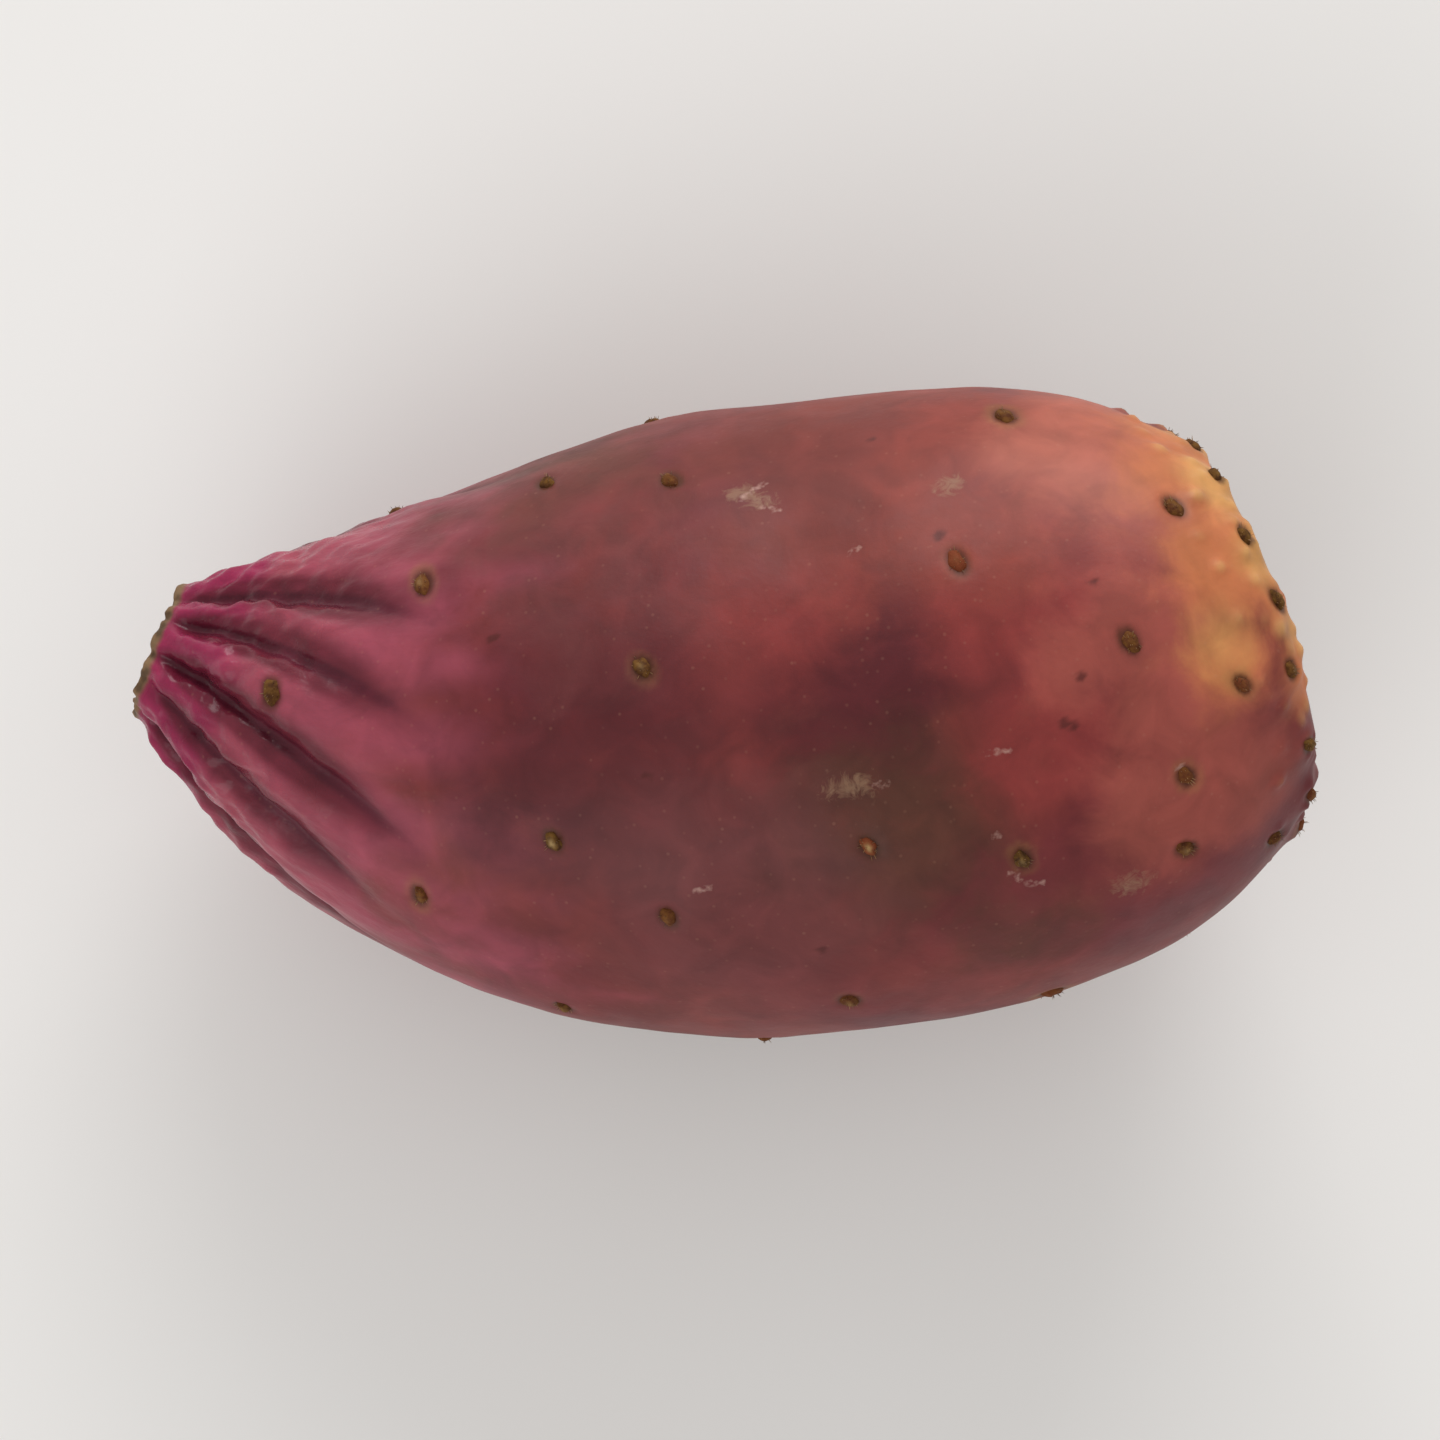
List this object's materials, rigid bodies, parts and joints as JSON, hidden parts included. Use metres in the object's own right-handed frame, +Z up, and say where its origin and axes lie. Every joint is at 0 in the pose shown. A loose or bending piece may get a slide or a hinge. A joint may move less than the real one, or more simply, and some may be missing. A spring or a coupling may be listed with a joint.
{
  "type": "prickly pear fruit",
  "caption": "Ripe prickly pear fruit, whole and picked, lying on its side: folded neck at the stem end, dished flower end ringed with areoles.",
  "frame": {"origin": "middle of the bounding box on the surface that the fruit rests on", "axes": "+X from the stem end to the flower end, +Z up; the bulging side of the fruit's bend faces -Y"},
  "size_m": [0.1002, 0.0554, 0.0517],
  "materials": {
    "skin": "satin waxy skin, crimson to maroon, magenta at the neck and orange at the flower end"
  },
  "bodies": {
    "root": {"prickly_pear_fruit": "skin"}
  },
  "joints": []
}
